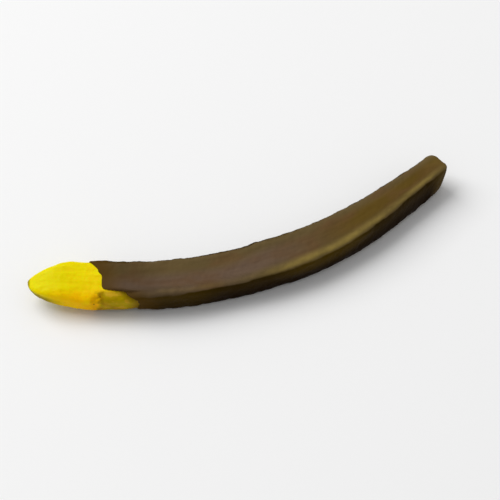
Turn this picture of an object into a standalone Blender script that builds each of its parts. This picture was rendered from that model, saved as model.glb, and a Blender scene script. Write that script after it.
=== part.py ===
"""A strip of candied lemon peel, dipped in dark chocolate up to its bare yellow tip.

Metres, +Z up. The strip lies on one cut face and bends in the ground plane. Its bare tip points to -X,
and the outer side of the bend, which was the lemon's skin, faces -Y. The origin is the middle of the box,
on the ground.
"""

import math

import bmesh
import bpy
import numpy as np

MM = 0.001

# The strip bends twice, gently and then more, given as shares of its length from the tip
PEEL_LENGTH = 98.2 * MM
FIRST_BEND = math.radians(19)
FIRST_BEND_SPAN = (0.16, 0.51)
SECOND_BEND = math.radians(25.2)
SECOND_BEND_SPAN = (0.42, 0.92)

# The peel's width is across the bend, its height is from cut face to cut face
HEAD_WIDTH = 9.8 * MM
HEAD_HEIGHT = 4.8 * MM
HEAD_SPAN = (0.11, 0.21)
BODY_WIDTH = 7.7 * MM
BODY_HEIGHT = 5.6 * MM
END_WIDTH = 4.2 * MM
NARROWING_SPAN = (0.66, 1.0)
BOXINESS = 4.6

# Behind its head the peel's outer side stands further out
SHOULDER = 1.2 * MM
SHOULDER_RISE_SPAN = (0.07, 0.21)
SHOULDER_FALL_SPAN = (0.20, 0.30)

# The peel's two ends: a point, straighter on its inner side, and a blunt end, its top furthest out
TIP_RUN_OUTER = 12.1 * MM
TIP_RUN_INNER = 9.3 * MM
TIP_RUN_HEIGHT = 7.4 * MM
TIP_BLUNTNESS_OUTER = 2.2
TIP_BLUNTNESS_INNER = 1.3
TIP_BLUNTNESS_HEIGHT = 1.5
END_ROUNDING = 1.6 * MM
END_BLUNTNESS = 2.6
END_SLOPE = 0.4
END_SLOPE_RUN = 9 * MM

# The section leans outwards as far as the twist, and is upright after it, and the tip is off the ground
LEAN = math.radians(9.7)
TWIST_SPAN = (0.54, 0.85)
TIP_RISE = 1.2 * MM
TIP_RISE_RUN = 21 * MM

# The chocolate, measured from the peel's face
COAT = 0.85 * MM
GAP = 0.3 * MM
LIP = 0.2 * MM
LIP_RUN = 4 * MM
RIPPLE = 0.10 * MM
SHORT_RIPPLE = 26 * MM
LONG_RIPPLE = 42 * MM
REST_FLAT = 0.2 * MM

# The dip line, a slanted ring round the strip with a step where it passes to the outer side
DIP = 15.8 * MM
DIP_SLANT = 3.0 * MM
DIP_OUTER_STEP = 4.9 * MM
DIP_OUTER_SLANT = 0.7 * MM
DIP_RIDGE_SPAN = (math.radians(70), math.radians(82))
DIP_UNDER_SPAN = (math.radians(-170), math.radians(-70))

# How finely each face is divided, and how far the rows crowd towards the ends, from 0 to 1
AROUND = 36
PEEL_ROWS = 44
LIP_ROWS = 5
COAT_ROWS = 46
LINING_ROWS = 36
CROWDING = 0.8
LINE_STEPS = 400
OUTLINE_STEPS = 1441
SHARP_EDGE = math.radians(50)


def smoothstep(value, span):
    share = np.clip((value - span[0]) / (span[1] - span[0]), 0.0, 1.0)
    return share * share * (3 - 2 * share)


def blend(start, end, share):
    return start + (end - start) * share


def middle_line():
    """Distances from the tip, and the plan point and heading at each, with the ends on a line along X."""
    share = np.linspace(0, 1, LINE_STEPS)
    first = FIRST_BEND * smoothstep(share, FIRST_BEND_SPAN)
    second = SECOND_BEND * smoothstep(share, SECOND_BEND_SPAN)
    heading = first + second
    step = PEEL_LENGTH / (LINE_STEPS - 1)
    heading -= math.atan2(np.sin(heading).sum(), np.cos(heading).sum())
    x = np.concatenate([[0], np.cumsum(np.cos(heading[:-1]) * step)])
    y = np.concatenate([[0], np.cumsum(np.sin(heading[:-1]) * step)])
    return share * PEEL_LENGTH, x, y, heading


LINE = middle_line()


def place_on_line(along):
    """The plan point and heading at a distance from the tip, carried on straight past the far end."""
    distance, x, y, heading = LINE
    turn = np.interp(along, distance, heading)
    past = max(along - PEEL_LENGTH, 0.0)
    middle = np.array([np.interp(along, distance, x), np.interp(along, distance, y), 0.0])
    return middle + past * np.array([math.cos(turn), math.sin(turn), 0.0]), turn


def tip_taper(along, run, bluntness):
    """0 at the very tip, rising to 1 over the run."""
    left = 1 - min(along / run, 1.0)
    return (1 - left**bluntness) ** (1 / bluntness)


def end_taper(along, grow):
    """1 along the strip, falling to 0 in a blunt end that a grown face reaches later."""
    into = max(along - (PEEL_LENGTH - END_ROUNDING), 0.0) / (END_ROUNDING + grow)
    return (1 - min(into, 1.0) ** END_BLUNTNESS) ** (1 / END_BLUNTNESS)


def body_sizes(along):
    """The peel's width and height at a distance from the tip, before its ends are tapered."""
    share = along / PEEL_LENGTH
    to_body = smoothstep(share, HEAD_SPAN)
    narrowed = smoothstep(share, NARROWING_SPAN)
    width = blend(blend(HEAD_WIDTH, BODY_WIDTH, to_body), END_WIDTH, narrowed)
    return width, blend(HEAD_HEIGHT, BODY_HEIGHT, to_body)


def shoulder(along):
    share = along / PEEL_LENGTH
    return SHOULDER * smoothstep(share, SHOULDER_RISE_SPAN) * (1 - smoothstep(share, SHOULDER_FALL_SPAN))


def unit_outline(angle):
    """(outwards, upwards) round the boxy section, each from -1 to 1."""
    power = 2 / BOXINESS
    outwards = math.copysign(abs(math.cos(angle)) ** power, math.cos(angle))
    upwards = math.copysign(abs(math.sin(angle)) ** power, math.sin(angle))
    return outwards, upwards


def even_angles():
    """Section angles that lie evenly along the unit outline, starting on the outer side."""
    fine = np.linspace(0, 2 * math.pi, OUTLINE_STEPS)
    outline = np.array([unit_outline(angle) for angle in fine])
    walked = np.concatenate([[0], np.cumsum(np.linalg.norm(np.diff(outline, axis=0), axis=1))])
    return [float(np.interp(walked[-1] * step / AROUND, walked, fine)) for step in range(AROUND)]


ANGLES = even_angles()


def leaning_section(along, angle, grow):
    """(outwards, upwards) of a point of the section from its middle, on a face grown out of the peel."""
    width, height = body_sizes(along)
    if math.cos(angle) > 0:
        reach = width / 2 * tip_taper(along, TIP_RUN_OUTER, TIP_BLUNTNESS_OUTER) + shoulder(along)
    else:
        reach = width / 2 * tip_taper(along, TIP_RUN_INNER, TIP_BLUNTNESS_INNER)
    tip_height = tip_taper(along, TIP_RUN_HEIGHT, TIP_BLUNTNESS_HEIGHT)
    end = end_taper(along, grow)
    unit_out, unit_up = unit_outline(angle)
    outwards = unit_out * (reach + grow) * end
    upwards = unit_up * (height / 2 * tip_height + grow) * end
    lean = LEAN * (1 - smoothstep(along / PEEL_LENGTH, TWIST_SPAN))
    return (
        outwards * math.cos(lean) + upwards * math.sin(lean),
        upwards * math.cos(lean) - outwards * math.sin(lean),
    )


def middle_height(along):
    """How high the strip's middle lies, so that its coat would sink by REST_FLAT into the ground."""
    body = min(max(along, TIP_RUN_INNER), PEEL_LENGTH - END_ROUNDING)
    lowest = min(leaning_section(body, angle, COAT)[1] for angle in ANGLES)
    rise = TIP_RISE * (1 - smoothstep(along, (0, TIP_RISE_RUN)))
    return rise - lowest - REST_FLAT


def skin_point(along, angle, grow):
    """A point of the face that lies grow outside the peel."""
    outwards, upwards = leaning_section(along, angle, grow)
    middle, turn = place_on_line(along)
    forward = np.array([math.cos(turn), math.sin(turn), 0.0])
    side = np.array([math.sin(turn), -math.cos(turn), 0.0])
    ahead = END_SLOPE * upwards * smoothstep(along, (PEEL_LENGTH - END_SLOPE_RUN, PEEL_LENGTH))
    return middle + ahead * forward + outwards * side + np.array([0.0, 0.0, upwards + middle_height(along)])


def on_outer_side(angle):
    """1 on the outer side, falling to 0 over the top ridge and under the strip."""
    turned = (angle + math.pi) % (2 * math.pi) - math.pi
    return (1 - smoothstep(turned, DIP_RIDGE_SPAN)) * smoothstep(turned, DIP_UNDER_SPAN)


def dip_line(angle):
    """How far from the tip the chocolate starts: later on the outer side, with a step at the ridge."""
    outer_step = DIP_OUTER_STEP - DIP_OUTER_SLANT * math.sin(angle)
    return DIP + DIP_SLANT * math.cos(angle) + outer_step * on_outer_side(angle)


def ripple(along, angle):
    """The coat's slow unevenness, as it set."""
    turns = 2 * math.pi * along
    swell = math.sin(turns / SHORT_RIPPLE + math.sin(angle)) + math.sin(turns / LONG_RIPPLE - 2 * angle)
    return RIPPLE * swell / 2


def coat_grow(from_lip, along, angle):
    """How far the coat stands out of the peel's face: a thin lip that rises to an even but rippled coat."""
    risen = smoothstep(from_lip, (0, LIP_RUN))
    return blend(GAP + LIP, COAT + ripple(along, angle), risen)


def crowded_shares(rows):
    """Shares from 0 to just short of 1, closest together at both ends."""
    return [blend(row / rows, (1 - math.cos(math.pi * row / rows)) / 2, CROWDING) for row in range(rows)]


def peel_rings():
    """Rings along the peel, between the points of its two ends."""
    return [
        [skin_point(PEEL_LENGTH * share, angle, 0) for angle in ANGLES]
        for share in crowded_shares(PEEL_ROWS)[1:]
    ]


def coat_ring(start, share):
    """A ring of the coat's outer face, at a share of the way from a distance past its lip to its end."""
    ring = []
    for angle in ANGLES:
        along = blend(dip_line(angle) + start, PEEL_LENGTH + COAT, share)
        ring.append(skin_point(along, angle, coat_grow(start, along, angle)))
    return ring


def coat_rings():
    """Rings of the coat's outer face, from its lip to just short of the blunt end."""
    lip_distances = [LIP_RUN * (1 - math.cos(math.pi / 2 * row / LIP_ROWS)) for row in range(LIP_ROWS)]
    lip = [coat_ring(distance, 0.0) for distance in lip_distances]
    return lip + [coat_ring(LIP_RUN, share) for share in crowded_shares(COAT_ROWS)]


def lining_rings():
    """Rings of the coat's inner face, a gap away from the peel."""
    end = PEEL_LENGTH + GAP
    return [
        [skin_point(blend(dip_line(angle), end, share), angle, GAP) for angle in ANGLES]
        for share in crowded_shares(LINING_ROWS)
    ]


def join_rings(builder, near, far):
    for step in range(AROUND):
        after = (step + 1) % AROUND
        builder.faces.new([near[step], near[after], far[after], far[step]])


def skin_rings(builder, rings):
    """Skins the rings in turn, and returns the vertices of the first and the last."""
    rows = [[builder.verts.new(point) for point in ring] for ring in rings]
    for near, far in zip(rows, rows[1:]):
        join_rings(builder, near, far)
    return rows[0], rows[-1]


def close_end(builder, ring, point):
    pole = builder.verts.new(point)
    for step in range(AROUND):
        builder.faces.new([ring[step], ring[(step + 1) % AROUND], pole])


def new_material(name, colour, roughness):
    material = bpy.data.materials.new(name)
    material.use_nodes = True
    shader = material.node_tree.nodes["Principled BSDF"]
    shader.inputs["Base Color"].default_value = (*colour, 1.0)
    shader.inputs["Roughness"].default_value = roughness
    shader.inputs["Metallic"].default_value = 0.0
    return material


def new_object(name, builder, material):
    """Presses what is below the ground flat onto it, and makes the object."""
    for vert in builder.verts:
        vert.co.z = max(vert.co.z, 0.0)
    bmesh.ops.recalc_face_normals(builder, faces=builder.faces)
    mesh = bpy.data.meshes.new(name)
    builder.to_mesh(mesh)
    builder.free()
    mesh.materials.append(material)
    mesh.shade_smooth()
    mesh.set_sharp_from_angle(angle=SHARP_EDGE)
    piece = bpy.data.objects.new(name, mesh)
    bpy.context.scene.collection.objects.link(piece)
    return piece


def make_peel():
    """The candied peel, which runs through the whole strip and shows at the tip."""
    builder = bmesh.new()
    first, last = skin_rings(builder, peel_rings())
    close_end(builder, first, skin_point(0.0, 0.0, 0.0))
    close_end(builder, last, skin_point(PEEL_LENGTH, 0.0, 0.0))
    return new_object("lemon_peel", builder, new_material("candied_peel", (0.80, 0.55, 0.02), 0.35))


def make_coat():
    """The chocolate, a skin that is open at the dip line and closed round the far end."""
    builder = bmesh.new()
    outer_lip, outer_end = skin_rings(builder, coat_rings())
    inner_lip, inner_end = skin_rings(builder, lining_rings())
    close_end(builder, outer_end, skin_point(PEEL_LENGTH + COAT, 0.0, COAT))
    close_end(builder, inner_end, skin_point(PEEL_LENGTH + GAP, 0.0, GAP))
    join_rings(builder, inner_lip, outer_lip)
    return new_object("chocolate_coat", builder, new_material("dark_chocolate", (0.07, 0.04, 0.02), 0.45))


def centre_on_origin(pieces):
    """Shifts the meshes so that the origin is the middle of their box in plan."""
    points = np.array([vert.co for piece in pieces for vert in piece.data.vertices])
    middle = (points.min(axis=0) + points.max(axis=0)) / 2
    for piece in pieces:
        for vert in piece.data.vertices:
            vert.co.x -= middle[0]
            vert.co.y -= middle[1]


def main():
    for existing in list(bpy.data.objects):
        bpy.data.objects.remove(existing, do_unlink=True)
    centre_on_origin([make_peel(), make_coat()])


main()
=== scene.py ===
"""The looks of a candied lemon peel strip in dark chocolate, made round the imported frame.

Metres, +Z up, in the frame's own axes: the bare tip points to -X and the outer side of the bend faces -Y.
"""

import math

import bpy
import numpy as np
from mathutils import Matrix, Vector


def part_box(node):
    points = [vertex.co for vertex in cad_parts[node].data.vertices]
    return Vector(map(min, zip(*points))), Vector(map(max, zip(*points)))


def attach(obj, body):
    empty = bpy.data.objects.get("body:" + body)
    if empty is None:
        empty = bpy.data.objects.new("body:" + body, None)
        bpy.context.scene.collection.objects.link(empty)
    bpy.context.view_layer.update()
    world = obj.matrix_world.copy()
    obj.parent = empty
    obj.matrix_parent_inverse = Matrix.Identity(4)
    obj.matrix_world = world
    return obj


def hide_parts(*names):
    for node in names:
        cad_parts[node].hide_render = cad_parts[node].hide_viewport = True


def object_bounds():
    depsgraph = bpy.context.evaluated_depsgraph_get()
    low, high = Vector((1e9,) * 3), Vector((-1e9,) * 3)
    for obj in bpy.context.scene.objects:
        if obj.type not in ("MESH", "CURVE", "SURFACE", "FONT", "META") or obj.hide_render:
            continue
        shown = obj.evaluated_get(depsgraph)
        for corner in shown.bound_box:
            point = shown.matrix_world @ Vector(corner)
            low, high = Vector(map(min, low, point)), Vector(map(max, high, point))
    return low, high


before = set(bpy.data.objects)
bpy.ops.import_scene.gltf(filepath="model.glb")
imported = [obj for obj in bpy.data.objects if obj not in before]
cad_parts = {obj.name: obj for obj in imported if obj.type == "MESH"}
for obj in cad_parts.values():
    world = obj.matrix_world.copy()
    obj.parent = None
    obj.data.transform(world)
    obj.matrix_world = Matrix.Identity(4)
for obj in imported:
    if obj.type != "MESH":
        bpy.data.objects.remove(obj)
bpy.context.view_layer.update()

MM = 0.001

# The strip's form, as its solids have it: the two bends, as shares of the length from the tip
PEEL_LENGTH = 98.2 * MM
FIRST_BEND = math.radians(19)
FIRST_BEND_SPAN = (0.16, 0.51)
SECOND_BEND = math.radians(25.2)
SECOND_BEND_SPAN = (0.42, 0.92)

# The peel's width across the bend, and its height from cut face to cut face
HEAD_WIDTH = 9.8 * MM
HEAD_HEIGHT = 4.8 * MM
HEAD_SPAN = (0.11, 0.21)
BODY_WIDTH = 7.7 * MM
BODY_HEIGHT = 5.6 * MM
END_WIDTH = 4.2 * MM
NARROWING_SPAN = (0.66, 1.0)
BOXINESS = 4.6

# Behind its head the peel's outer side stands further out
SHOULDER = 1.2 * MM
SHOULDER_RISE_SPAN = (0.07, 0.21)
SHOULDER_FALL_SPAN = (0.20, 0.30)

# The peel's ends, and its lean, which the far end has none of
TIP_RUN_OUTER = 12.1 * MM
TIP_RUN_INNER = 9.3 * MM
TIP_RUN_HEIGHT = 7.4 * MM
TIP_BLUNTNESS_OUTER = 2.2
TIP_BLUNTNESS_INNER = 1.3
TIP_BLUNTNESS_HEIGHT = 1.5
END_ROUNDING = 1.6 * MM
END_BLUNTNESS = 2.6
END_SLOPE = 0.4
END_SLOPE_RUN = 9 * MM
LEAN = math.radians(9.7)
TWIST_SPAN = (0.54, 0.85)
TIP_RISE = 1.2 * MM
TIP_RISE_RUN = 21 * MM

# The chocolate, measured from the peel's face
COAT = 0.85 * MM
TUCK = 0.15 * MM
LIP = 0.30 * MM
LIP_ROUNDING = 0.45 * MM
LIP_RUN = 4.0 * MM
RIPPLE = 0.10 * MM
SHORT_RIPPLE = 26 * MM
LONG_RIPPLE = 42 * MM
REST_FLAT = 0.2 * MM

# The dip line, where the chocolate starts, and its small waves round the strip: how many of each, how high
# they are beside the first, and where they start
DIP = 15.8 * MM
DIP_SLANT = 3.0 * MM
DIP_OUTER_STEP = 4.9 * MM
DIP_OUTER_SLANT = 0.7 * MM
DIP_RIDGE_SPAN = (math.radians(70), math.radians(82))
DIP_UNDER_SPAN = (math.radians(-170), math.radians(-70))
DIP_TREMBLE = 0.12 * MM
DIP_WAVES = ((5, 1.0, 0.7), (11, 0.7, 2.1), (19, 0.4, 0.0))

# Places round the section, counted from the outer side over the top: its outer top edge, and the band by it
# where the chocolate is thin and a highlight is painted
OUTER_TOP_EDGE = math.radians(45)
THIN_HIGHLIT_BAND = math.radians(58)

# An edge of the section starts, and is full, where the unit outline's two values multiply to these
EDGE_SPAN = (0.35, 0.74)

# How finely the faces are divided
AROUND = 160
TIP_ROWS = 190
TIP_ROWS_REACH = 27 * MM
TIP_CROWDING = 0.25
HIDDEN_ROWS = 40
LIP_ROWS = 26
COAT_ROWS = 480
COAT_CROWDING = 0.35
LINING_ROWS = 40
LINE_STEPS = 400
HEIGHT_STEPS = 300


def smoothstep(value, span):
    share = np.clip((value - span[0]) / (span[1] - span[0]), 0.0, 1.0)
    return share * share * (3 - 2 * share)


def blend(start, end, share):
    return start + (end - start) * share


# The strip's form

def middle_line():
    """Distances from the tip, and the plan point and heading at each, with the ends on a line along X."""
    share = np.linspace(0, 1, LINE_STEPS)
    first = FIRST_BEND * smoothstep(share, FIRST_BEND_SPAN)
    second = SECOND_BEND * smoothstep(share, SECOND_BEND_SPAN)
    heading = first + second
    step = PEEL_LENGTH / (LINE_STEPS - 1)
    heading -= math.atan2(np.sin(heading).sum(), np.cos(heading).sum())
    x = np.concatenate([[0], np.cumsum(np.cos(heading[:-1]) * step)])
    y = np.concatenate([[0], np.cumsum(np.sin(heading[:-1]) * step)])
    return share * PEEL_LENGTH, x, y, heading


LINE = middle_line()


def place_on_line(along):
    """The plan points and headings at distances from the tip, carried on straight past the far end."""
    distance, x, y, heading = LINE
    turn = np.interp(along, distance, heading)
    past = np.maximum(along - PEEL_LENGTH, 0.0)
    return (
        np.interp(along, distance, x) + past * np.cos(turn),
        np.interp(along, distance, y) + past * np.sin(turn),
        turn,
    )


def tip_taper(along, run, bluntness):
    left = 1 - np.clip(along / run, 0.0, 1.0)
    return (1 - left**bluntness) ** (1 / bluntness)


def end_taper(along, grow):
    into = np.maximum(along - (PEEL_LENGTH - END_ROUNDING), 0.0) / (END_ROUNDING + grow)
    return (1 - np.minimum(into, 1.0) ** END_BLUNTNESS) ** (1 / END_BLUNTNESS)


def shoulder(along):
    """How much further out the peel's outer side stands."""
    share = along / PEEL_LENGTH
    return SHOULDER * smoothstep(share, SHOULDER_RISE_SPAN) * (1 - smoothstep(share, SHOULDER_FALL_SPAN))


def unit_outline(angle):
    """(outwards, upwards) round the boxy section, each from -1 to 1."""
    power = 2 / BOXINESS
    outwards = np.copysign(np.abs(np.cos(angle)) ** power, np.cos(angle))
    upwards = np.copysign(np.abs(np.sin(angle)) ** power, np.sin(angle))
    return outwards, upwards


def straight_section(along, angle, grow):
    """(outwards, upwards) of points of the section before it leans, on a face grown out of the peel."""
    share = along / PEEL_LENGTH
    to_body = smoothstep(share, HEAD_SPAN)
    width = blend(blend(HEAD_WIDTH, BODY_WIDTH, to_body), END_WIDTH, smoothstep(share, NARROWING_SPAN))
    height = blend(HEAD_HEIGHT, BODY_HEIGHT, to_body)
    outer_reach = width / 2 * tip_taper(along, TIP_RUN_OUTER, TIP_BLUNTNESS_OUTER) + shoulder(along)
    inner_reach = width / 2 * tip_taper(along, TIP_RUN_INNER, TIP_BLUNTNESS_INNER)
    reach = np.where(np.cos(angle) > 0, outer_reach, inner_reach)
    tip_height = tip_taper(along, TIP_RUN_HEIGHT, TIP_BLUNTNESS_HEIGHT)
    end = end_taper(along, grow)
    unit_out, unit_up = unit_outline(angle)
    outwards = unit_out * (reach + grow) * end
    upwards = unit_up * (height / 2 * tip_height + grow) * end
    return outwards, upwards


def leaning_section(along, angle, grow):
    outwards, upwards = straight_section(along, angle, grow)
    lean = LEAN * (1 - smoothstep(along / PEEL_LENGTH, TWIST_SPAN))
    return (
        outwards * np.cos(lean) + upwards * np.sin(lean),
        upwards * np.cos(lean) - outwards * np.sin(lean),
    )


def even_angles(count):
    """Section angles that lie evenly along the unit outline, starting on the outer side."""
    fine = np.linspace(0, 2 * math.pi, 40 * count + 1)
    outline = np.stack(unit_outline(fine), axis=1)
    walked = np.concatenate([[0], np.cumsum(np.linalg.norm(np.diff(outline, axis=0), axis=1))])
    return np.interp(np.arange(count) * walked[-1] / count, walked, fine)


ANGLES = even_angles(AROUND)


def middle_height(along):
    """How high the strip's middle lies, so that its coat would sink by REST_FLAT into the ground."""
    body = np.clip(along, TIP_RUN_INNER, PEEL_LENGTH - END_ROUNDING)
    lowest = leaning_section(body[..., None], ANGLES, COAT)[1].min(axis=-1)
    return TIP_RISE * (1 - smoothstep(along, (0, TIP_RISE_RUN))) - lowest - REST_FLAT


def skin(along, angle, grow):
    """Points of the face that lies grow outside the peel, for rows of distances and angles."""
    outwards, upwards = leaning_section(along, angle, grow)
    x, y, turn = place_on_line(along)
    ahead = END_SLOPE * upwards * smoothstep(along, (PEEL_LENGTH - END_SLOPE_RUN, PEEL_LENGTH))
    row_distance = np.linspace(0, PEEL_LENGTH + COAT, HEIGHT_STEPS)
    middle = np.interp(along, row_distance, middle_height(row_distance))
    return np.stack([
        x + outwards * np.sin(turn) + ahead * np.cos(turn),
        y - outwards * np.cos(turn) + ahead * np.sin(turn),
        upwards + middle,
    ], axis=-1)


def centre_of_solids():
    """The plan shift that puts the strip where the frame has it, from the peel's box."""
    low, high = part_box("lemon_peel")
    along = np.linspace(0, PEEL_LENGTH, LINE_STEPS)[:, None]
    points = skin(along, ANGLES[None, :], 0.0).reshape(-1, 3)
    made = (points.min(axis=0) + points.max(axis=0)) / 2
    return np.array([(low[0] + high[0]) / 2 - made[0], (low[1] + high[1]) / 2 - made[1], 0.0])


def half_turned(angle):
    """The same angle counted from -pi to pi, with 0 on the outer side."""
    return (angle + math.pi) % (2 * math.pi) - math.pi


def on_outer_side(angle, ridge_span):
    """1 on the outer side, falling to 0 over the top ridge and under the strip."""
    turned = half_turned(angle)
    return (1 - smoothstep(turned, ridge_span)) * smoothstep(turned, DIP_UNDER_SPAN)


def dip_line(angle):
    """How far from the tip the chocolate starts: later on the outer side, with a step at the ridge."""
    outer_step = DIP_OUTER_STEP - DIP_OUTER_SLANT * np.sin(angle)
    return DIP + DIP_SLANT * np.cos(angle) + outer_step * on_outer_side(angle, DIP_RIDGE_SPAN)


def ripple(along, angle):
    """The coat's slow unevenness, as it set."""
    turns = 2 * math.pi * along
    swell = np.sin(turns / SHORT_RIPPLE + np.sin(angle)) + np.sin(turns / LONG_RIPPLE - 2 * angle)
    return RIPPLE * swell / 2


def near_angle(angle, centre, reach):
    """1 at an angle of the section, falling to 0 at its reach to either side."""
    return 1 - smoothstep(np.abs(half_turned(angle - centre)), (0, reach))


def on_edges(angle):
    """1 on the section's four edges and 0 in the middle of its faces."""
    unit_out, unit_up = unit_outline(angle)
    return smoothstep(np.abs(unit_out * unit_up), EDGE_SPAN)


# Meshes

def tube_mesh(name, points, poles):
    """A closed mesh over rows of points, with a pole before the first row and one after the last."""
    rows, around = points.shape[:2]
    vertices = np.concatenate([points.reshape(-1, 3), poles])
    index = np.arange(rows * around).reshape(rows, around)
    after = np.roll(index, -1, axis=1)
    quads = np.stack([index[:-1], index[1:], after[1:], after[:-1]], axis=-1).reshape(-1, 4)
    first_pole, last_pole = rows * around, rows * around + 1
    first_cap = [(first_pole, *edge) for edge in zip(index[0].tolist(), after[0].tolist())]
    last_cap = [(last_pole, *edge) for edge in zip(after[-1].tolist(), index[-1].tolist())]
    mesh = bpy.data.meshes.new(name)
    mesh.from_pydata(vertices.tolist(), [], quads.tolist() + first_cap + last_cap)
    mesh.shade_smooth()
    return mesh


def store(mesh, name, values, poles=(0.0, 0.0)):
    """Keeps a value for each point of a tube's rows, and for its two poles, as an attribute."""
    attribute = mesh.attributes.new(name, "FLOAT", "POINT")
    attribute.data.foreach_set("value", np.concatenate([values.reshape(-1), poles]).astype(np.float32))


def store_strip_place(mesh, along, angle, grow):
    """Keeps where each point would lie if the strip were straight, for patterns that follow the bend."""
    outwards, upwards = straight_section(along, angle, grow)
    places = np.stack([along, outwards, upwards], axis=-1).reshape(-1, 3)
    poles = np.array([[along[0].mean(), 0, 0], [along[-1].mean(), 0, 0]])
    attribute = mesh.attributes.new("strip_place", "FLOAT_VECTOR", "POINT")
    attribute.data.foreach_set("vector", np.concatenate([places, poles]).reshape(-1).astype(np.float32))


def new_piece(mesh):
    piece = bpy.data.objects.new(mesh.name, mesh)
    bpy.context.scene.collection.objects.link(piece)
    return piece


# Node helpers, for geometry and shaders alike

# How far from its middle a dot has faded away, beside the size of its cell
DOT_REACH = 0.42


def node(tree, kind, inputs=(), **settings):
    """Adds a node, sets its properties, and gives its inputs values or links."""
    made = tree.nodes.new(kind)
    for name, value in settings.items():
        setattr(made, name, value)
    for key, value in dict(inputs).items():
        if isinstance(value, bpy.types.NodeSocket):
            tree.links.new(value, made.inputs[key])
        else:
            made.inputs[key].default_value = value
    return made


def new_tree(name, kind, inputs, outputs):
    """A node group with named sockets. Returns it with what it is given and what it puts out."""
    tree = bpy.data.node_groups.new(name, kind)
    for in_out, sockets in (("INPUT", inputs), ("OUTPUT", outputs)):
        for label, socket_type in sockets.items():
            tree.interface.new_socket(label, in_out=in_out, socket_type="NodeSocket" + socket_type)
    return tree, tree.nodes.new("NodeGroupInput").outputs, tree.nodes.new("NodeGroupOutput").inputs


def calculate(tree, operation, first, second):
    return node(tree, "ShaderNodeMath", {0: first, 1: second}, operation=operation).outputs[0]


def times(tree, first, *others):
    for other in others:
        first = calculate(tree, "MULTIPLY", first, other)
    return first


def plus(tree, first, *others):
    for other in others:
        first = calculate(tree, "ADD", first, other)
    return first


def ramp(tree, value, low, high, to_low=0.0, to_high=1.0):
    """The value spread smoothly from low..high to to_low..to_high, and held past both."""
    inputs = {"Value": value, "From Min": low, "From Max": high, "To Min": to_low, "To Max": to_high}
    return node(tree, "ShaderNodeMapRange", inputs, interpolation_type="SMOOTHSTEP").outputs["Result"]


def noise(tree, place, size, detail=2.0, seed=0.0):
    """Noise from 0 to 1 with lumps of about that size, in metres, which may come from a socket."""
    scale = calculate(tree, "DIVIDE", 1.0, size)
    inputs = {"Vector": place, "W": seed, "Scale": scale, "Detail": detail}
    made = node(tree, "ShaderNodeTexNoise", inputs, noise_dimensions="4D")
    return made.outputs[0]


def patches_over(tree, place, size, seed, span, strength=(0.0, 1.0)):
    """Soft patches of about that size: noise in the span spread over the strengths."""
    return ramp(tree, noise(tree, place, size, seed=seed), *span, *strength)


def dots(tree, place, size, share, seed):
    """1 in the middle of round dots, one in a cell of that size, in that share of the cells."""
    inputs = {"Vector": place, "W": seed, "Scale": calculate(tree, "DIVIDE", 1.0, size)}
    cells = node(tree, "ShaderNodeTexVoronoi", inputs, voronoi_dimensions="4D")
    chosen = node(tree, "ShaderNodeSeparateXYZ", {0: cells.outputs["Color"]}).outputs[0]
    near = ramp(tree, cells.outputs["Distance"], 0.0, DOT_REACH, 1.0, 0.0)
    return times(tree, near, calculate(tree, "LESS_THAN", chosen, share))


def stretched(tree, place, lengthwise):
    """The place drawn out along the strip, so that a pattern over it runs lengthwise."""
    shrink = (1 / lengthwise, 1.0, 1.0)
    return node(tree, "ShaderNodeVectorMath", {0: place, 1: shrink}, operation="MULTIPLY").outputs[0]


# Relief, by Geometry Nodes

# How much longer than wide the lumps and the streaks are, and how many cells have a nib
LUMP_STRETCH = 2.2
STREAK_STRETCH = 7.0
NIB_SHARE = 0.22

# Noise seldom strays more than a quarter from its middle value, and this brings it to about 1
NOISE_GAIN = 4.0

# The skin's pores, which its relief and its colour share, how far the relief's seed for pits is from its
# first, and the first seed of the chocolate's relief
PORE_SIZE = 0.95 * MM
PORE_SHARE = 0.8
PORE_SEED = 8.0
PIT_SEED_STEP = 5
COAT_SEED = 11.0


def mesh_field(tree, name, data_type="FLOAT"):
    made = node(tree, "GeometryNodeInputNamedAttribute", {"Name": name}, data_type=data_type)
    return made.outputs["Attribute"]


def swelling(tree, place, size, height, seed, detail=2.0):
    """Lumps that stand as far out as they sink in."""
    centred = calculate(tree, "SUBTRACT", noise(tree, place, size, detail, seed), 0.5)
    return times(tree, centred, height, NOISE_GAIN)


def finish_tree(tree, geometry, material, result):
    real = node(tree, "GeometryNodeRealizeInstances", {0: geometry}).outputs[0]
    smooth = node(tree, "GeometryNodeSetShadeSmooth", {0: real}).outputs[0]
    finished = node(tree, "GeometryNodeSetMaterial", {"Geometry": smooth, "Material": material})
    tree.links.new(finished.outputs[0], result)


def relief_amount(tree, given):
    """How far each point is raised, by the kinds of relief that its attributes give it a share of."""
    place = mesh_field(tree, "strip_place", "FLOAT_VECTOR")
    long_place = stretched(tree, place, LUMP_STRETCH)
    streak_place = stretched(tree, place, STREAK_STRETCH)
    seeds = [plus(tree, given["Seed"], float(step)) for step in range(PIT_SEED_STEP + 1)]
    lumps = swelling(tree, long_place, given["Lump size"], given["Lump height"], seeds[0], 1.0)
    grain = swelling(tree, place, given["Grain size"], given["Grain height"], seeds[1])
    streaks = swelling(tree, streak_place, given["Streak size"], given["Streak height"], seeds[2])
    edges = swelling(tree, place, given["Edge size"], given["Edge height"], seeds[3])
    nibs = times(tree, dots(tree, place, given["Nib size"], NIB_SHARE, seeds[4]), given["Nib height"])
    pits = dots(tree, place, given["Pit size"], given["Pit share"], seeds[PIT_SEED_STEP])
    pits = times(tree, pits, given["Pit depth"])
    ragged = times(tree, plus(tree, edges, nibs), mesh_field(tree, "ragged"))
    raised = plus(tree, lumps, grain, times(tree, streaks, mesh_field(tree, "streaked")), ragged)
    sunk = times(tree, pits, mesh_field(tree, "pitted"))
    return times(tree, calculate(tree, "SUBTRACT", raised, sunk), mesh_field(tree, "loose"))


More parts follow.
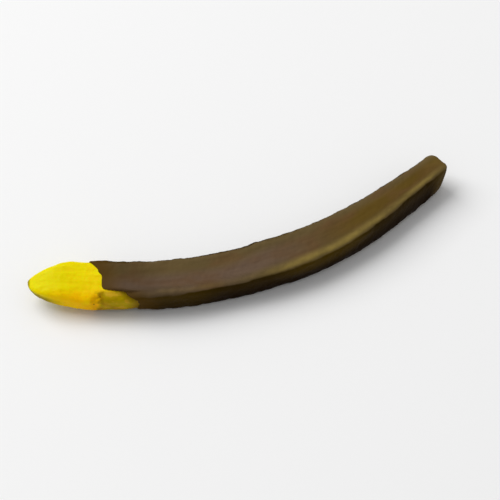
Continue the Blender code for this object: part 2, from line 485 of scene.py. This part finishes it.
def pressed_flat(tree, geometry):
    """Lifts what would go below the ground onto it."""
    position = node(tree, "GeometryNodeInputPosition").outputs[0]
    height = node(tree, "ShaderNodeSeparateXYZ", {0: position}).outputs["Z"]
    lift = calculate(tree, "MAXIMUM", times(tree, height, -1.0), 0.0)
    lifted = node(tree, "ShaderNodeCombineXYZ", {"Z": lift}).outputs[0]
    return node(tree, "GeometryNodeSetPosition", {"Geometry": geometry, "Offset": lifted}).outputs[0]


def relief_tree():
    """Raises a strip's surface along its normals, and presses flat what would go below the ground.

    How much of each kind a point has comes from the attributes loose, streaked, ragged and pitted.
    """
    sizes = (
        "Lump size", "Lump height", "Streak size", "Streak height", "Grain size", "Grain height",
        "Edge size", "Edge height", "Pit size", "Pit depth", "Pit share", "Nib size", "Nib height", "Seed",
    )
    inputs = {"Geometry": "Geometry", **{name: "Float" for name in sizes}, "Material": "Material"}
    outputs = {"Geometry": "Geometry"}
    tree, given, result = new_tree("strip_relief", "GeometryNodeTree", inputs, outputs)
    amount = relief_amount(tree, given)
    normal = node(tree, "GeometryNodeInputNormal").outputs["Normal"]
    offset = node(tree, "ShaderNodeVectorMath", {0: normal, "Scale": amount}, operation="SCALE").outputs[0]
    shaped = node(tree, "GeometryNodeSetPosition", {"Geometry": given["Geometry"], "Offset": offset})
    finish_tree(tree, pressed_flat(tree, shaped.outputs[0]), given["Material"], result["Geometry"])
    return tree


def grow_by(piece, tree, values):
    """Runs a tree on a piece with values for its named inputs, and keeps what comes out as its mesh."""
    modifier = piece.modifiers.new(tree.name, "NODES")
    modifier.node_group = tree
    for socket in tree.interface.items_tree:
        if socket.in_out == "INPUT" and socket.name in values:
            modifier[socket.identifier] = values[socket.name]
    evaluated = piece.evaluated_get(bpy.context.evaluated_depsgraph_get())
    mesh = bpy.data.meshes.new_from_object(evaluated)
    piece.modifiers.remove(modifier)
    mesh.name = piece.name
    piece.data = mesh


# The peel

# Where its relief is: on the bare peel behind its very point, and in spans of the section, counted from -1
# to 1 outwards or upwards
BARE_END_SPAN = (0, 2.5 * MM)
RELIEF_START_SPAN = (0.2 * MM, 3 * MM)
SKIN_SPAN = (0.60, 0.95)
CUT_SPAN = (0.70, 0.98)

# Where it is orange and where it is pale: both change from the point to the dip
DEEPENING_SPAN = (2 * MM, 14 * MM)
ZEST_SPAN = (1.6 * MM, 4.6 * MM)
ZEST_AT_POINT = 0.45
INNER_SIDE_SPAN = (0.2, 0.95)
PALE_INNER_AT_DIP = 0.4
PALE_POINT = 0.8

# Where it has dried, at its point, and where shade is painted along the tip's lower rim
DRIED_POINT_SPAN = (0.15 * MM, 0.8 * MM)
SHADED_RIM_SPAN = (-0.6, 0.2)
SHADED_RIM_END_SPAN = (3 * MM, 9 * MM)

# The thin film of chocolate on the outer side: thicker low down and just before the dip line, with a darker
# run across it that lies further from its start the lower it is
FILM_START = 14.9 * MM
FILM_REACH = 6.0 * MM
FILM_RIDGE_SPAN = (math.radians(68), math.radians(80))
FILM_LOW_SPAN = (-0.3, 0.7)
FILM_END_SPAN = (-2.6 * MM, 0.0)
RUN_HIGH = 0.6 * MM
RUN_LOW = 4.2 * MM
RUN_SPAN = (-0.9, 0.5)
RUN_WIDTH_SPAN = (0.2 * MM, 1.2 * MM)

# Where flecks may lie: by the film's start, and round the outer top edge, by an angle in radians
FLECKS_FROM_START = 0.5 * MM
FLECKS_SPAN = (0.5 * MM, 3 * MM)
FLECKS_ROUND_REACH = 0.9


def peel_alongs():
    """Distances of the peel's rows: fine over the bare tip, closest at its point, then coarse."""
    share = np.arange(1, TIP_ROWS + 1) / TIP_ROWS
    fine = TIP_ROWS_REACH * ((1 - TIP_CROWDING) * share + TIP_CROWDING * share**3)
    share = np.arange(1, HIDDEN_ROWS) / HIDDEN_ROWS
    return np.concatenate([fine, blend(TIP_ROWS_REACH, PEEL_LENGTH, np.sin(share * math.pi / 2))])


def peel_relief_shares(along, angle):
    """How much of each kind of relief the peel's points have."""
    unit_out, unit_up = unit_outline(angle)
    bare = 1 - smoothstep(along - dip_line(angle), BARE_END_SPAN)
    return {
        "loose": smoothstep(along, RELIEF_START_SPAN) * bare,
        "streaked": smoothstep(np.abs(unit_up), CUT_SPAN),
        "ragged": on_edges(angle),
        "pitted": smoothstep(unit_out, SKIN_SPAN),
    }


def peel_colour_shares(along, angle):
    """How orange the peel's points are, and how pale."""
    unit_out, _ = unit_outline(angle)
    outwards, _ = straight_section(along, angle, 0.0)
    to_dip = smoothstep(along, DEEPENING_SPAN)
    inner_side = smoothstep(-unit_out, INNER_SIDE_SPAN) * blend(1.0, PALE_INNER_AT_DIP, to_dip)
    return {
        "zest": smoothstep(outwards, ZEST_SPAN) * blend(ZEST_AT_POINT, 1.0, to_dip),
        "pale": np.maximum(inner_side, PALE_POINT * (1 - to_dip)),
    }


def dried_and_shaded_shares(along, angle):
    _, unit_up = unit_outline(angle)
    # Painted shade along the tip's lower rim; the very point is browned
    shaded_rim = smoothstep(-unit_up, SHADED_RIM_SPAN) * (1 - smoothstep(along, SHADED_RIM_END_SPAN))
    point = 1 - smoothstep(along, DRIED_POINT_SPAN)
    return np.maximum(point, shaded_rim)


def film_shares(along, angle):
    """Where the film lies, how far into it each point is, and where flecks may lie beside it."""
    _, unit_up = unit_outline(angle)
    into_film = along - FILM_START
    run_line = blend(RUN_HIGH, RUN_LOW, smoothstep(-unit_up, RUN_SPAN))
    by_film = 1 - smoothstep(np.abs(into_film - FLECKS_FROM_START), FLECKS_SPAN)
    return {
        "film_side": on_outer_side(angle, FILM_RIDGE_SPAN),
        "into_film": np.clip(into_film / FILM_REACH, -1, 1),
        "film_low": smoothstep(-unit_up, FILM_LOW_SPAN),
        "film_end": smoothstep(along - dip_line(angle), FILM_END_SPAN),
        "film_run": 1 - smoothstep(np.abs(into_film - run_line), RUN_WIDTH_SPAN),
        "flecked": by_film * near_angle(angle, OUTER_TOP_EDGE, FLECKS_ROUND_REACH),
    }


def peel_mesh(shift):
    along, angle = np.meshgrid(peel_alongs(), ANGLES, indexing="ij")
    tip = skin(np.array([0.0]), 0.0, 0.0)[0]
    end = skin(np.array([PEEL_LENGTH]), 0.0, 0.0)[0]
    mesh = tube_mesh("candied_peel", skin(along, angle, 0.0) + shift, np.array([tip, end]) + shift)
    store_strip_place(mesh, along, angle, 0.0)
    shares = {
        **peel_relief_shares(along, angle),
        **peel_colour_shares(along, angle),
        **film_shares(along, angle),
    }
    for name, values in shares.items():
        store(mesh, name, values)
    store(mesh, "dried_and_shaded", dried_and_shaded_shares(along, angle), poles=(1.0, 0.0))
    return mesh


def make_peel(shift, relief, material):
    """The candied peel: a pored skin side, streaked cut faces, and a thin film of chocolate by the dip."""
    piece = new_piece(peel_mesh(shift))
    grow_by(piece, relief, {
        "Lump size": 5 * MM, "Lump height": 0.12 * MM,
        "Grain size": 1.2 * MM, "Grain height": 0.045 * MM,
        "Streak size": 0.9 * MM, "Streak height": 0.085 * MM,
        "Edge size": 2.0 * MM, "Edge height": 0.08 * MM,
        "Pit size": PORE_SIZE, "Pit depth": 0.10 * MM, "Pit share": PORE_SHARE,
        "Nib size": 3 * MM, "Nib height": 0.0,
        "Seed": PORE_SEED - PIT_SEED_STEP, "Material": material,
    })
    return piece


# The chocolate

# Where the coat is uneven and where it is thin, counted from its lip
SETTLED_SPAN = (0.3 * MM, 3 * MM)
THIN_LIP_SPAN = (0.2 * MM, 6.0 * MM)
NEAR_DIP_SPAN = (6.0 * MM, 16.0 * MM)

# The cut faces' colour, the chocolate's bloom with painted sheen, which reaches further over the outer edge
# than over the middle, and the stripe of another colour along them, where the painted sheen is greyest,
# which lies nearer to the outer side before the bend
CUT_REACH = 0.05
COAT_CUT_SPAN = (0.72, 0.97)
STRIPE_BEFORE_BEND = 0.45
STRIPE_AFTER_BEND = 0.1
STRIPE_CROSSING_SPAN = (40 * MM, 54 * MM)
STRIPE_WIDTH_SPAN = (0.15, 0.80)
# Where the painted sheen gives way to a warmer olive towards the far end
WARM_SPAN = (46 * MM, 76 * MM)

# The band by the outer top edge, thin chocolate with a painted highlight: how far round it reaches, in
# radians, and how strong it is along it
THIN_HIGHLIT_BAND_REACH = 0.45
BAND_STRENGTH_NEAR_DIP = 0.2
BAND_RISE_SPAN = (46 * MM, 60 * MM)
BAND_FALL_SPAN = (72 * MM, 80 * MM)
BAND_FALL = 0.25

# Painted shade on the sides: near black low down. High up they are lighter, most so between two places and
# at the far rim, and up to the bend they are a little lighter all over
HIGH_SIDE_SPAN = (-0.7, 0.4)
LEAST_LIGHT = 0.35
LIGHT_RISE_SPAN = (50 * MM, 60 * MM)
LIGHT_FALL_SPAN = (70 * MM, 78 * MM)
LIGHT_BEFORE_BEND = 0.4
LIGHT_BEFORE_BEND_SPAN = (34 * MM, 42 * MM)

# The far end: its face, and its rim, where the band by the outer top edge ends and a painted highlight lies
# on the cut face
END_FACE_SPAN = (PEEL_LENGTH - 5.0 * MM, PEEL_LENGTH - 1.0 * MM)
END_RIM_SPAN = (PEEL_LENGTH - 6.0 * MM, PEEL_LENGTH - 0.5 * MM)
BAND_LOST_AT_RIM = 0.85
RIM_HIGHLIGHT = 0.2


def lip_rise(from_lip):
    """The coat's height over the peel at distances from its lip: a rounded thin edge, then a slow rise."""
    share = np.clip(from_lip / LIP_ROUNDING, 0.0, 1.0)
    edge = (LIP + TUCK) * np.sqrt(1 - (1 - share) ** 2)
    return edge - TUCK + (COAT - LIP) * smoothstep(from_lip, (0, LIP_RUN))


def coat_alongs(lip):
    """Distances of the coat's rows from its lip, for each angle, to just short of the far end."""
    lip_share = (np.arange(LIP_ROWS) / LIP_ROWS) ** 2
    share = np.arange(COAT_ROWS) / COAT_ROWS
    share = blend(share, np.sin(math.pi / 2 * share), COAT_CROWDING)
    after_lip = lip + LIP_RUN
    return np.concatenate([
        lip + LIP_RUN * lip_share[:, None],
        after_lip + (PEEL_LENGTH + COAT - after_lip) * share[:, None],
    ])


def lining_alongs(lip):
    """Distances of the hidden inner face's rows, from just short of the far end to the lip."""
    share = np.sin(math.pi / 2 * np.arange(1, LINING_ROWS) / LINING_ROWS)[::-1, None]
    return lip + (PEEL_LENGTH - TUCK - lip) * share


def trembling_lip():
    """The dip line with the small unevenness of a hand's dip."""
    turn = 2 * math.pi * np.arange(AROUND) / AROUND
    small = sum(height * np.sin(count * turn + start) for count, height, start in DIP_WAVES)
    return dip_line(ANGLES) + DIP_TREMBLE * small


def coat_cut_face(angle):
    """1 on the coat over the peel's cut faces, and 0 on its sides."""
    unit_out, unit_up = unit_outline(angle)
    return smoothstep(np.abs(unit_up) + CUT_REACH * unit_out, COAT_CUT_SPAN)


def thin_and_highlit_edge_shares(along, angle):
    """How much thin chocolate and painted highlight lie by the outer top edge, and painted highlight over
    the cut face at the far rim.
    """
    end_rim = smoothstep(along, END_RIM_SPAN)
    band_rise = smoothstep(along, BAND_RISE_SPAN) - BAND_FALL * smoothstep(along, BAND_FALL_SPAN)
    band_strength = blend(BAND_STRENGTH_NEAR_DIP, 1.0, band_rise) * (1 - BAND_LOST_AT_RIM * end_rim)
    band = band_strength * near_angle(angle, THIN_HIGHLIT_BAND, THIN_HIGHLIT_BAND_REACH)
    rim = RIM_HIGHLIGHT * end_rim * coat_cut_face(angle) * (np.sin(angle) > 0)
    return np.clip(band + rim, 0, 1)


def shaded_side_shares(along, angle):
    """How much painted shade darkens the coat's sides towards near black."""
    _, unit_up = unit_outline(angle)
    end_rim = smoothstep(along, END_RIM_SPAN)
    light = smoothstep(along, LIGHT_RISE_SPAN) - smoothstep(along, LIGHT_FALL_SPAN) + end_rim
    dark = 1 - blend(LEAST_LIGHT, 1.0, light) * (1 - smoothstep(-unit_up, HIGH_SIDE_SPAN))
    dark -= LIGHT_BEFORE_BEND * (1 - smoothstep(along, LIGHT_BEFORE_BEND_SPAN))
    return np.clip(dark, 0, 1)


def coat_relief_shares(along, angle, from_lip):
    """How much of each kind of relief the coat's points have."""
    return {
        "loose": smoothstep(from_lip, SETTLED_SPAN) * end_taper(along, COAT),
        "streaked": coat_cut_face(angle),
        "ragged": on_edges(angle),
        "pitted": np.ones(along.shape),
    }


def coat_colour_shares(along, angle, from_lip):
    """How much of each of its colours the coat's points have."""
    unit_out, _ = unit_outline(angle)
    stripe = blend(STRIPE_BEFORE_BEND, STRIPE_AFTER_BEND, smoothstep(along, STRIPE_CROSSING_SPAN))
    return {
        "cut_face": coat_cut_face(angle),
        "face_middle": 1 - smoothstep(np.abs(unit_out - stripe), STRIPE_WIDTH_SPAN),
        "thin_and_highlit_edge": thin_and_highlit_edge_shares(along, angle),
        "warm_end": smoothstep(along, WARM_SPAN),
        "shaded_side": shaded_side_shares(along, angle),
        "end_face": smoothstep(along, END_FACE_SPAN),
        "thin_lip": 1 - smoothstep(from_lip, THIN_LIP_SPAN),
        "near_dip": 1 - smoothstep(from_lip, NEAR_DIP_SPAN),
    }


def coat_mesh(shift):
    """The coat's closed mesh: its lining from the far end to the lip, and its outside from there back."""
    lip = trembling_lip()
    lining_along = lining_alongs(lip)
    lining_angle = np.broadcast_to(ANGLES, lining_along.shape)
    along = coat_alongs(lip)
    angle = np.broadcast_to(ANGLES, along.shape)
    from_lip = along - lip
    grow = lip_rise(from_lip) + ripple(along, angle) * smoothstep(from_lip, SETTLED_SPAN)
    rows = np.concatenate([skin(lining_along, lining_angle, -TUCK), skin(along, angle, grow)])
    inner_end = skin(np.array([PEEL_LENGTH - TUCK]), 0.0, -TUCK)[0]
    outer_end = skin(np.array([PEEL_LENGTH + COAT]), 0.0, COAT)[0]
    mesh = tube_mesh("dark_chocolate_coat", rows + shift, np.array([inner_end, outer_end]) + shift)

    all_along = np.concatenate([lining_along, along])
    all_angle = np.concatenate([lining_angle, angle])
    all_grow = np.concatenate([np.full(lining_along.shape, -TUCK), grow])
    store_strip_place(mesh, all_along, all_angle, all_grow)
    shares = {**coat_relief_shares(along, angle, from_lip), **coat_colour_shares(along, angle, from_lip)}
    for name, outside in shares.items():
        store(mesh, name, np.concatenate([np.zeros(lining_along.shape), outside]))
    return mesh


def make_coat(shift, relief, material):
    """The chocolate over the peel, thin at its lip and tucked into the peel there."""
    piece = new_piece(coat_mesh(shift))
    grow_by(piece, relief, {
        "Lump size": 5 * MM, "Lump height": 0.16 * MM,
        "Grain size": 1.5 * MM, "Grain height": 0.065 * MM,
        "Streak size": 1.5 * MM, "Streak height": 0.075 * MM,
        "Edge size": 2.2 * MM, "Edge height": 0.13 * MM,
        "Pit size": 2.0 * MM, "Pit depth": 0.12 * MM, "Pit share": 0.14,
        "Nib size": 3.2 * MM, "Nib height": 0.20 * MM,
        "Seed": COAT_SEED, "Material": material,
    })
    return piece


# Flecks of chocolate, scattered by Geometry Nodes

# How long, wide and high the smallest and the largest are, beside the fleck radius
SMALLEST_FLECK = (0.35, 0.35, 0.18)
LARGEST_FLECK = (1.3, 0.9, 0.36)
FLECK_SUBDIVISIONS = 3


def fleck_tree():
    """Small flattened drops, scattered where a mesh's attribute flecked says so, and half sunk in it."""
    inputs = {
        "Geometry": "Geometry", "Flecks a square metre": "Float", "Fleck radius": "Float",
        "Seed": "Int", "Material": "Material",
    }
    outputs = {"Geometry": "Geometry"}
    tree, given, result = new_tree("chocolate_flecks", "GeometryNodeTree", inputs, outputs)
    density = times(tree, mesh_field(tree, "flecked"), given["Flecks a square metre"])
    spread = node(tree, "GeometryNodeDistributePointsOnFaces", {
        "Mesh": given["Geometry"], "Density": density, "Seed": given["Seed"],
    })
    ball = node(tree, "GeometryNodeMeshIcoSphere", {
        "Radius": given["Fleck radius"], "Subdivisions": FLECK_SUBDIVISIONS,
    })
    size = node(tree, "FunctionNodeRandomValue", data_type="FLOAT_VECTOR")
    size.inputs[0].default_value = SMALLEST_FLECK
    size.inputs[1].default_value = LARGEST_FLECK
    placed = node(tree, "GeometryNodeInstanceOnPoints", {
        "Points": spread.outputs["Points"], "Instance": ball.outputs["Mesh"],
        "Rotation": spread.outputs["Rotation"], "Scale": size.outputs[0],
    })
    finish_tree(tree, placed.outputs[0], given["Material"], result["Geometry"])
    return tree


def make_flecks(peel, material):
    piece = new_piece(peel.data.copy())
    piece.name = "chocolate_flecks"
    grow_by(piece, fleck_tree(), {
        "Flecks a square metre": 6.0e5, "Fleck radius": 0.20 * MM, "Seed": 4, "Material": material,
    })
    return piece


# Materials

def shade(red, green, blue):
    """A colour given as it shows on a screen, from 0 to 255, in the linear values that shaders take."""
    return tuple((channel / 255) ** 2.2 for channel in (red, green, blue))


CHOCOLATE_SIDE = shade(68, 52, 10)
# Near black, for the painted shade low on the sides; it also darkens the cut faces near the dip
CHOCOLATE_DARK_SIDE = shade(32, 20, 2)
CHOCOLATE_END = shade(76, 60, 28)
# Cut faces: the chocolate's bloom with painted sheen, greyest in the middle stripe, warmer where it fades
# at the far end
CHOCOLATE_CUT = shade(94, 79, 52)
CHOCOLATE_CUT_MIDDLE = shade(101, 83, 69)
CHOCOLATE_WARM_CUT = shade(90, 71, 32)
CHOCOLATE_RUDDY = shade(98, 72, 48)
# Light olive: thin chocolate over the peel with a painted highlight along the outer top edge, and a painted
# highlight on the far rim
CHOCOLATE_THIN_AND_HIGHLIT = shade(142, 122, 66)
CHOCOLATE_LIP = shade(78, 56, 20)

LEMON = shade(236, 221, 3)
LEMON_DEEP = shade(236, 203, 3)
LEMON_PALE = shade(220, 212, 3)
ZEST = shade(252, 188, 4)
ZEST_DEEP = shade(224, 152, 2)
FILM = shade(168, 145, 8)
FILM_THIN = shade(200, 158, 40)
FILM_EDGE = shade(138, 101, 8)
FILM_THICK = shade(92, 72, 8)
# Browned olive: the dried point, and painted shade along the tip's lower rim
DRIED_AND_SHADED = shade(116, 98, 14)

# How much of a colour shows where its attribute is full
NEAR_DIP_DARKNESS = 0.28
LIP_STRENGTH = 0.8
PORE_STRENGTH = 0.5
RUN_STRENGTH = 0.45
FILM_LOW_STRENGTH = 0.25
FILM_END_STRENGTH = 0.75
DRIED_AND_SHADED_STRENGTH = 0.8

# How rough each surface is, from its smoothest patches to its roughest, and how deep its grain is
CHOCOLATE_ROUGHNESS = (0.42, 0.56)
CHOCOLATE_GRAIN_DEPTH = 0.035 * MM
PEEL_ROUGHNESS = (0.30, 0.45)
PEEL_GRAIN_DEPTH = 0.030 * MM

# How much longer than wide the chocolate's patches and the peel's streaks are
CHOCOLATE_STRETCH = 2.5
PEEL_STREAK_STRETCH = 8.0


def new_material(name):
    material = bpy.data.materials.new(name)
    material.use_nodes = True
    tree = material.node_tree
    return material, tree, tree.nodes["Principled BSDF"]


def mesh_value(tree, name):
    return node(tree, "ShaderNodeAttribute", attribute_name=name).outputs["Fac"]


def strip_place(tree):
    return node(tree, "ShaderNodeAttribute", attribute_name="strip_place").outputs["Vector"]


def mix_colour(tree, share, first, second):
    mixer = node(tree, "ShaderNodeMix", data_type="RGBA")
    share_input, first_input, second_input = (mixer.inputs[index] for index in (0, 6, 7))
    for socket, value in ((share_input, share), (first_input, first), (second_input, second)):
        if isinstance(value, bpy.types.NodeSocket):
            tree.links.new(value, socket)
        elif isinstance(value, tuple):
            socket.default_value = (*value, 1.0)
        else:
            socket.default_value = value
    return mixer.outputs[2]


def grain_group():
    """A set surface's fine grain and its broader patches, for chocolate and peel alike."""
    inputs = {"Place": "Vector", "Grain size": "Float", "Patch size": "Float"}
    outputs = {"Grain": "Float", "Patches": "Float"}
    tree, given, result = new_tree("set_surface", "ShaderNodeTree", inputs, outputs)
    tree.links.new(noise(tree, given["Place"], given["Grain size"], detail=4.0), result["Grain"])
    patches = noise(tree, given["Place"], given["Patch size"], detail=3.0, seed=7.0)
    tree.links.new(ramp(tree, patches, 0.34, 0.66), result["Patches"])
    return tree


def set_surface(tree, group, grain_size, patch_size):
    made = node(tree, "ShaderNodeGroup", node_tree=group)
    tree.links.new(strip_place(tree), made.inputs["Place"])
    made.inputs["Grain size"].default_value = grain_size
    made.inputs["Patch size"].default_value = patch_size
    return made.outputs["Grain"], made.outputs["Patches"]


def finish_shader(tree, shader, colour, roughness, grain, grain_depth):
    tree.links.new(colour, shader.inputs["Base Color"])
    tree.links.new(roughness, shader.inputs["Roughness"])
    bump = node(tree, "ShaderNodeBump", {"Strength": 1.0, "Distance": grain_depth, "Height": grain})
    tree.links.new(bump.outputs["Normal"], shader.inputs["Normal"])


def cut_face_colour(tree, place):
    """The chocolate over the cut faces: a cooler stripe, warmer to the far end, with ruddy clouds; painted
    sheen over its bloom greys it, fading to the far end.
    """
    to_end = mesh_value(tree, "warm_end")
    middle = mix_colour(tree, to_end, CHOCOLATE_CUT_MIDDLE, CHOCOLATE_WARM_CUT)
    cut = mix_colour(tree, mesh_value(tree, "face_middle"), CHOCOLATE_CUT, middle)
    clouds = patches_over(tree, place, 3.5 * MM, seed=1.0, span=(0.45, 0.75), strength=(0.0, 0.7))
    cut = mix_colour(tree, clouds, cut, CHOCOLATE_RUDDY)
    darkness = times(tree, mesh_value(tree, "near_dip"), NEAR_DIP_DARKNESS)
    return mix_colour(tree, darkness, cut, CHOCOLATE_DARK_SIDE)


def chocolate_material(group):
    """Dark chocolate: greyer on the cut faces with painted sheen over its bloom, near black on the sides
    with painted shade, olive where it is thin and where a highlight is painted.
    """
    material, tree, shader = new_material("dark_chocolate")
    grain, patches = set_surface(tree, group, 0.5 * MM, 7 * MM)
    place = stretched(tree, strip_place(tree), CHOCOLATE_STRETCH)
    cut = cut_face_colour(tree, place)
    wavering = patches_over(tree, place, 1.6 * MM, seed=2.0, span=(0.3, 0.7), strength=(-0.25, 0.25))
    cut_share = ramp(tree, plus(tree, mesh_value(tree, "cut_face"), wavering), 0.2, 0.8)
    # Painted shade: the sides go near black low down
    side = mix_colour(tree, mesh_value(tree, "shaded_side"), CHOCOLATE_SIDE, CHOCOLATE_DARK_SIDE)
    side = mix_colour(tree, mesh_value(tree, "end_face"), side, CHOCOLATE_END)
    colour = mix_colour(tree, cut_share, side, cut)
    thin_patches = patches_over(tree, place, 3 * MM, seed=3.0, span=(0.30, 0.62), strength=(0.45, 1.0))
    # Painted highlight with thin chocolate along the outer top edge, and painted highlight on the far rim
    thin_and_highlit_share = times(tree, mesh_value(tree, "thin_and_highlit_edge"), thin_patches)
    colour = mix_colour(tree, thin_and_highlit_share, colour, CHOCOLATE_THIN_AND_HIGHLIT)
    lip_share = times(tree, mesh_value(tree, "thin_lip"), LIP_STRENGTH)
    colour = mix_colour(tree, lip_share, colour, CHOCOLATE_LIP)
    roughness = ramp(tree, patches, 0.0, 1.0, *CHOCOLATE_ROUGHNESS)
    finish_shader(tree, shader, colour, roughness, grain, CHOCOLATE_GRAIN_DEPTH)
    shader.inputs["IOR"].default_value = 1.45
    shader.inputs["Specular IOR Level"].default_value = 0.05
    shader.inputs["Specular Tint"].default_value = (1.0, 0.8, 0.3, 1.0)
    return material


def bare_peel_colour(tree, place, patches, into_film):
    """Lemon yellow with streaks, pale inside, and orange with darker pores at the skin."""
    long_place = stretched(tree, place, PEEL_STREAK_STRETCH)
    streaks = patches_over(tree, long_place, 0.7 * MM, seed=4.0, span=(0.38, 0.62), strength=(0.0, 0.8))
    colour = mix_colour(tree, patches, LEMON, LEMON_DEEP)
    colour = mix_colour(tree, streaks, colour, LEMON_DEEP)
    colour = mix_colour(tree, mesh_value(tree, "pale"), colour, LEMON_PALE)
    deep_patches = patches_over(tree, place, 2.0 * MM, seed=10.0, span=(0.35, 0.60))
    deep_share = times(tree, ramp(tree, into_film, -0.8, 0.0), deep_patches)
    zest = mix_colour(tree, deep_share, ZEST, ZEST_DEEP)
    zest_patches = patches_over(tree, place, 2.5 * MM, seed=5.0, span=(0.30, 0.70), strength=(0.55, 1.0))
    colour = mix_colour(tree, times(tree, mesh_value(tree, "zest"), zest_patches), colour, zest)
    pores = times(tree, dots(tree, place, PORE_SIZE, PORE_SHARE, PORE_SEED), mesh_value(tree, "pitted"))
    return mix_colour(tree, times(tree, pores, PORE_STRENGTH), colour, ZEST_DEEP)


def film_colour(tree, place):
    """The thin chocolate: worn through in patches, darker in its run, low down and by the dip line."""
    thin_patches = patches_over(tree, place, 1.6 * MM, seed=9.0, span=(0.50, 0.64), strength=(0.0, 0.8))
    film = mix_colour(tree, thin_patches, FILM, FILM_THIN)
    film = mix_colour(tree, times(tree, mesh_value(tree, "film_run"), RUN_STRENGTH), film, FILM_EDGE)
    film_low = times(tree, mesh_value(tree, "film_low"), FILM_LOW_STRENGTH)
    film_end = times(tree, mesh_value(tree, "film_end"), FILM_END_STRENGTH)
    return mix_colour(tree, plus(tree, film_low, film_end), film, FILM_THICK)


def filmed(tree, place, colour, into_film):
    """The peel's colour with the film over it, which starts at a wavering front with a darker edge."""
    film = film_colour(tree, place)
    wavering = patches_over(tree, place, 1.6 * MM, seed=6.0, span=(0.25, 0.75), strength=(-0.14, 0.14))
    wavering_film = plus(tree, into_film, wavering)
    film_side = mesh_value(tree, "film_side")
    film_share = times(tree, film_side, ramp(tree, wavering_film, -0.12, 0.24, 0.0, 0.95))
    colour = mix_colour(tree, film_share, colour, film)
    front = times(tree, film_side, ramp(tree, wavering_film, -0.16, 0.12))
    front = times(tree, front, ramp(tree, wavering_film, 0.15, 0.50, 1.0, 0.0))
    edge_patches = patches_over(tree, place, 1.8 * MM, seed=13.0, span=(0.38, 0.60), strength=(0.0, 0.8))
    return mix_colour(tree, times(tree, front, edge_patches), colour, FILM_EDGE)


def peel_material(group):
    """Candied peel: bright, a little translucent, orange at its skin, filmed with chocolate by the dip,
    with painted shade along the tip's lower rim.
    """
    material, tree, shader = new_material("candied_peel")
    grain, patches = set_surface(tree, group, 0.35 * MM, 4 * MM)
    place = strip_place(tree)
    into_film = mesh_value(tree, "into_film")
    colour = bare_peel_colour(tree, place, patches, into_film)
    colour = filmed(tree, place, colour, into_film)
    # The dried point, and painted shade along the tip's lower rim
    dried_and_shaded_share = times(tree, mesh_value(tree, "dried_and_shaded"), DRIED_AND_SHADED_STRENGTH)
    colour = mix_colour(tree, dried_and_shaded_share, colour, DRIED_AND_SHADED)
    roughness = ramp(tree, patches, 0.0, 1.0, *PEEL_ROUGHNESS)
    finish_shader(tree, shader, colour, roughness, grain, PEEL_GRAIN_DEPTH)
    shader.inputs["Subsurface Weight"].default_value = 0.30
    shader.inputs["Subsurface Radius"].default_value = (1.0, 0.6, 0.08)
    shader.inputs["Subsurface Scale"].default_value = 1.2 * MM
    shader.inputs["IOR"].default_value = 1.40
    shader.inputs["Specular IOR Level"].default_value = 0.05
    return material


def floor_material():
    material, _, shader = new_material("pale_floor")
    shader.inputs["Base Color"].default_value = (0.90, 0.90, 0.90, 1.0)
    shader.inputs["Roughness"].default_value = 1.0
    return material


# The stage

FLOOR_SIZE = 4.0
FLOOR_DROP = 0.02 * MM
CAMERA_AZIMUTH = math.radians(-20)
CAMERA_ELEVATION = math.radians(51)
LENS = 240.0
SENSOR = 36.0
VIEW_WIDTH = 108 * MM
CLIP_FACTOR = 100
SOFTBOX_DISTANCE = 1.5
SURROUND_STRENGTH = 0.44


def towards(azimuth, elevation):
    """The direction from the object to a place round it, where azimuth 0 is in front of it, at -Y."""
    level = Vector((math.sin(azimuth), -math.cos(azimuth), 0.0)) * math.cos(elevation)
    return level + Vector((0.0, 0.0, math.sin(elevation)))


def make_floor():
    mesh = bpy.data.meshes.new("floor")
    half = FLOOR_SIZE / 2
    corners = [(x * half, y * half, -FLOOR_DROP) for x, y in ((-1, -1), (1, -1), (1, 1), (-1, 1))]
    mesh.from_pydata(corners, [], [(0, 1, 2, 3)])
    mesh.materials.append(floor_material())
    new_piece(mesh)


def make_camera(target):
    """Looks at the target from the photograph's angle, from as far as its view width needs."""
    data = bpy.data.cameras.new("camera")
    data.lens = LENS
    data.sensor_width = SENSOR
    camera = bpy.data.objects.new("camera", data)
    bpy.context.scene.collection.objects.link(camera)
    distance = VIEW_WIDTH * LENS / SENSOR
    back = towards(CAMERA_AZIMUTH, CAMERA_ELEVATION)
    camera.location = Vector(target) + back * distance
    camera.rotation_euler = (-back).to_track_quat("-Z", "Y").to_euler()
    data.clip_start = distance / CLIP_FACTOR
    data.clip_end = distance * CLIP_FACTOR
    bpy.context.scene.camera = camera


def make_softbox(name, from_camera, elevation, size, radiance):
    """A square light that faces the object, turned so many degrees round from the camera."""
    data = bpy.data.lights.new(name, "AREA")
    data.shape = "SQUARE"
    data.size = size
    data.energy = radiance * math.pi * size * size
    light = bpy.data.objects.new(name, data)
    bpy.context.scene.collection.objects.link(light)
    back = towards(CAMERA_AZIMUTH + math.radians(from_camera), math.radians(elevation))
    light.location = back * SOFTBOX_DISTANCE
    light.rotation_euler = (-back).to_track_quat("-Z", "Y").to_euler()


def make_lights():
    """A broad soft light behind on the left, a weak one opposite the camera, and an even pale surround."""
    make_softbox("key", from_camera=-122, elevation=48, size=1.2, radiance=4.2)
    make_softbox("sheen", from_camera=180, elevation=58, size=0.7, radiance=0.6)
    world = bpy.data.worlds.new("pale_surround")
    world.use_nodes = True
    background = world.node_tree.nodes["Background"]
    background.inputs["Color"].default_value = (1.0, 1.0, 1.0, 1.0)
    background.inputs["Strength"].default_value = SURROUND_STRENGTH
    bpy.context.scene.world = world


def main():
    bpy.context.scene.view_settings.view_transform = "Standard"
    shift = centre_of_solids()
    relief = relief_tree()
    group = grain_group()
    chocolate = chocolate_material(group)
    peel = make_peel(shift, relief, peel_material(group))
    flecks = make_flecks(peel, chocolate)
    coat = make_coat(shift, relief, chocolate)
    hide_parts("lemon_peel")
    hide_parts("chocolate_coat")
    for piece, slot in ((peel, "candied_peel"), (coat, "dark_chocolate"), (flecks, "dark_chocolate")):
        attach(piece, "root")
    low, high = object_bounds()
    make_floor()
    make_camera((Vector(low) + Vector(high)) / 2)
    make_lights()


main()
